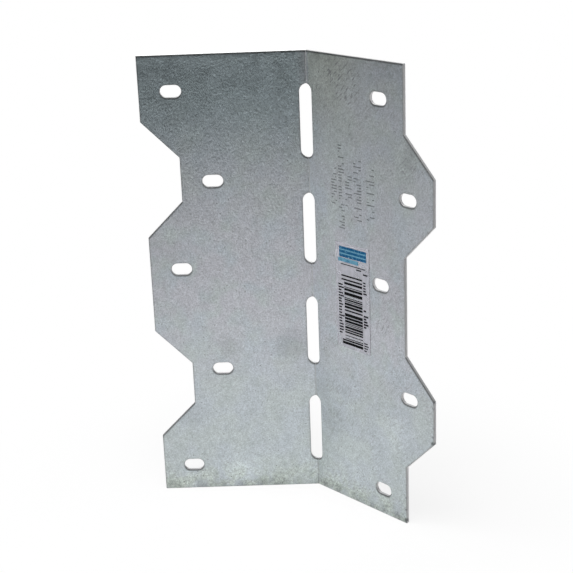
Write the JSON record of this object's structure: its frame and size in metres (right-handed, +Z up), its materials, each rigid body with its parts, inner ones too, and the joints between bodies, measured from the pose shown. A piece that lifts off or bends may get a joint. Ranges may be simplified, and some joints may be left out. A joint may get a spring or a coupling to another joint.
{
  "type": "angle bracket",
  "caption": "Folded sheet-steel angle with zigzag free edges, nail holes in both legs and slots along the bend, for fixing timbers that meet at a skew.",
  "frame": {"origin": "at the bottom end, on the fold, where the middles of the two legs' thickness meet", "axes": "+Z up along the fold, the left leg in the XZ plane reaching towards -X with its outer face towards +Y, the right leg turned forward towards +X and -Y"},
  "size_m": [0.0967, 0.0426, 0.1619],
  "materials": {
    "galvanised_steel": "matt hot-dip galvanised sheet with a fine grey mottle and sheared edges"
  },
  "bodies": {
    "root": {"angle_bracket": "galvanised_steel"}
  },
  "joints": []
}
